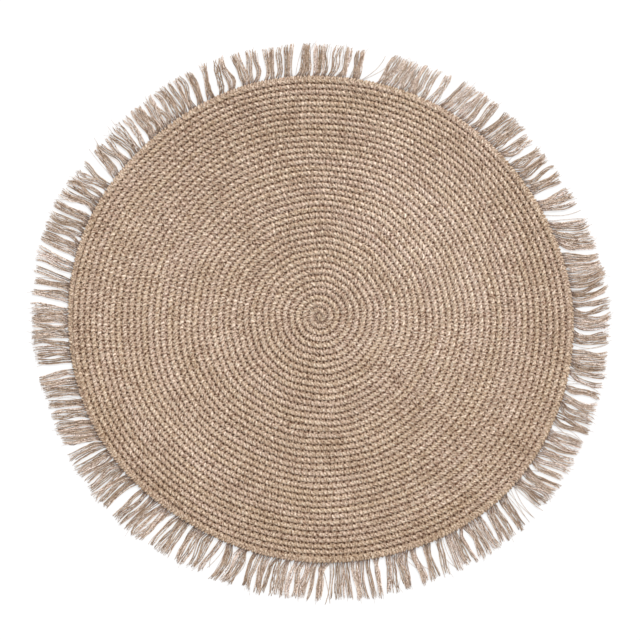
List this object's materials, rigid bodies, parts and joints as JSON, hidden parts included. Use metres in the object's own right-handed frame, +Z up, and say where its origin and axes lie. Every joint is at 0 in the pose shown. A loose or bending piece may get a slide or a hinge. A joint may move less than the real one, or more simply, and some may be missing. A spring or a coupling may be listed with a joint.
{
  "type": "round crocheted rug",
  "caption": "Flat round rug crocheted in one spiral of plied natural yarn, with a slightly uneven outline and a cut fringe lying out flat all round its rim.",
  "frame": {"origin": "on the floor, under the middle of the rug's whole outline, fringe included", "axes": "+Z up through the worked top face, +Y towards the side with the widest gap in its fringe, +X along the rug's greatest width"},
  "size_m": [1.156, 1.1078, 0.009],
  "materials": {
    "mat_yarn": "matt plied natural yarn, single crochet worked in rounds",
    "fringe_yarn": "matt cut yarn ends, greyer and paler than the mat"
  },
  "bodies": {
    "root": {"mat": "mat_yarn", "fringe": "fringe_yarn"}
  },
  "joints": []
}
